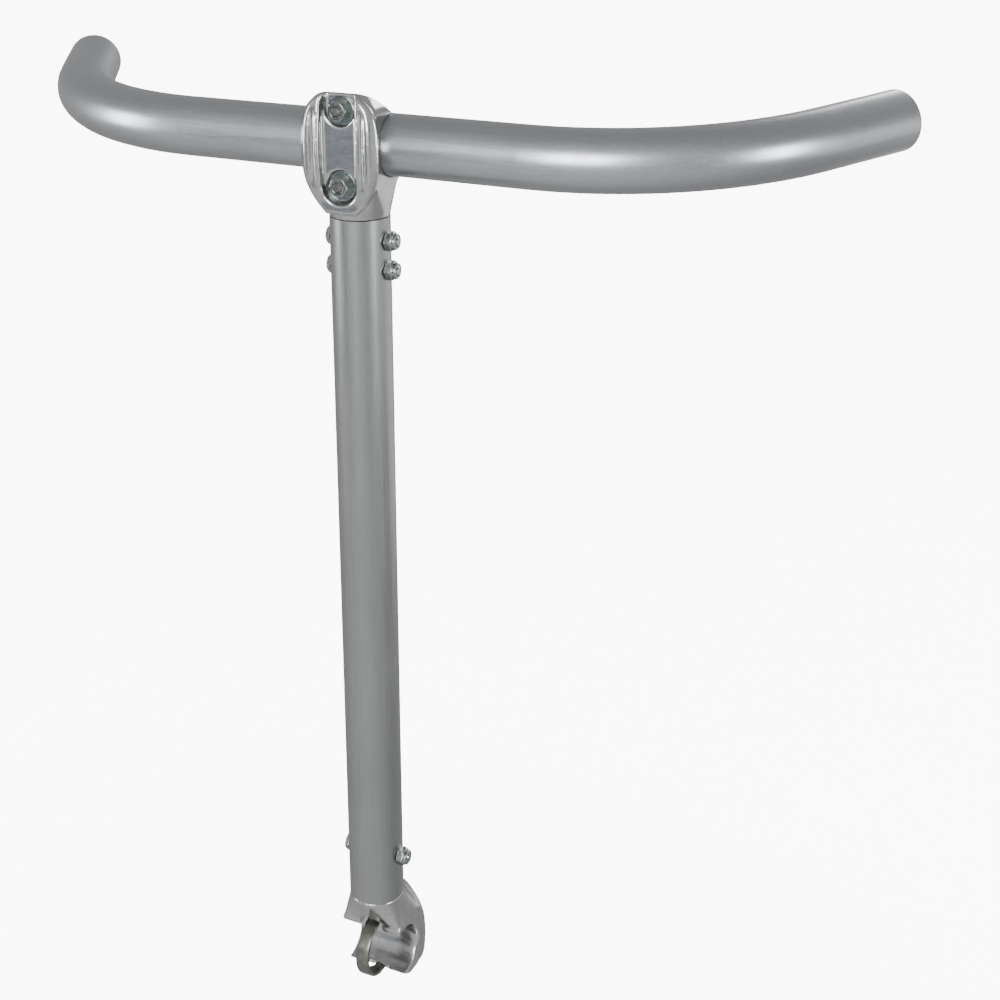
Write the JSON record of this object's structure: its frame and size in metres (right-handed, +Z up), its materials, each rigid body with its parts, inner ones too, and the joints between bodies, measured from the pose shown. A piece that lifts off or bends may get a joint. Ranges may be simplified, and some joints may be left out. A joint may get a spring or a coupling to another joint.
{
  "type": "clamp-on t-bar stand",
  "caption": "Clamp-on T-bar stand: a swept-back hand bar on a round post, with a forged clamp fitting and a U-bolt at either end of the post.",
  "frame": {"origin": "on the clamped rail's axis, in the middle of the rail clamp's saddle", "axes": "+X along the clamped rail, +Z up the post, +Y the way the bar's arms sweep; the rail clamp's nuts face +Y and the bar clamp's nuts face -Y"},
  "size_m": [0.7014, 0.1973, 0.718],
  "materials": {
    "bar_aluminium": "satin clear-anodised",
    "post_aluminium": "satin clear-anodised, slightly darker",
    "forged_aluminium": "polished forging",
    "zinc_plated_steel": "bright zinc plate",
    "plain_steel": "plain drawn steel",
    "plug_plastic": "moulded, near black"
  },
  "bodies": {
    "stand": {"post_tube": "post_aluminium", "top_fitting": "forged_aluminium", "bottom_fitting": "forged_aluminium", "top_clamp_washer_upper": "zinc_plated_steel", "top_clamp_washer_lower": "zinc_plated_steel", "bottom_clamp_washer_upper": "zinc_plated_steel", "bottom_clamp_washer_lower": "zinc_plated_steel", "top_cross_bolt_upper": "zinc_plated_steel", "top_cross_bolt_lower": "zinc_plated_steel", "top_cross_nut_upper": "zinc_plated_steel", "top_cross_nut_lower": "zinc_plated_steel", "bottom_cross_bolt": "zinc_plated_steel", "bottom_cross_nut": "zinc_plated_steel"},
    "hand_bar": {"top_bar": "bar_aluminium", "bar_end_plug_left": "plug_plastic", "bar_end_plug_right": "plug_plastic"},
    "top_u_bolt": {"top_u_bolt": "plain_steel"},
    "top_clamp_nut_upper": {"top_clamp_nut_upper": "zinc_plated_steel"},
    "top_clamp_nut_lower": {"top_clamp_nut_lower": "zinc_plated_steel"},
    "bottom_u_bolt": {"bottom_u_bolt": "plain_steel"},
    "bottom_clamp_nut_upper": {"bottom_clamp_nut_upper": "zinc_plated_steel"},
    "bottom_clamp_nut_lower": {"bottom_clamp_nut_lower": "zinc_plated_steel"}
  },
  "joints": [
    {"name": "bar_tilt", "type": "hinge", "parent": "stand", "child": "hand_bar", "pos_m": [0, 0.006, 0.645], "axis": [1, 0, 0], "continuous": true},
    {"name": "top_nut_upper_turn", "type": "hinge", "parent": "stand", "child": "top_clamp_nut_upper", "pos_m": [0, -0.0228, 0.67035], "axis": [0, -1, 0], "range_deg": [0, 1080]},
    {"name": "top_nut_lower_turn", "type": "hinge", "parent": "stand", "child": "top_clamp_nut_lower", "pos_m": [0, -0.0228, 0.61965], "axis": [0, -1, 0], "range_deg": [0, 1080]},
    {"name": "top_u_bolt_release", "type": "slide", "parent": "stand", "child": "top_u_bolt", "axis": [0, 1, 0], "range_m": [0, 0.00423]},
    {"name": "bottom_nut_upper_turn", "type": "hinge", "parent": "stand", "child": "bottom_clamp_nut_upper", "pos_m": [0, 0.0288, 0.02535], "axis": [0, 1, 0], "range_deg": [0, 1080]},
    {"name": "bottom_nut_lower_turn", "type": "hinge", "parent": "stand", "child": "bottom_clamp_nut_lower", "pos_m": [0, 0.0288, -0.02535], "axis": [0, 1, 0], "range_deg": [0, 1080]},
    {"name": "bottom_u_bolt_release", "type": "slide", "parent": "stand", "child": "bottom_u_bolt", "axis": [0, -1, 0], "range_m": [0, 0.00423]}
  ],
  "couplings": [
    {"joint": "top_nut_upper_turn", "follows": "top_u_bolt_release", "rad_per_m": 4452.6},
    {"joint": "top_nut_lower_turn", "follows": "top_u_bolt_release", "rad_per_m": 4452.6},
    {"joint": "bottom_nut_upper_turn", "follows": "bottom_u_bolt_release", "rad_per_m": 4452.6},
    {"joint": "bottom_nut_lower_turn", "follows": "bottom_u_bolt_release", "rad_per_m": 4452.6}
  ]
}
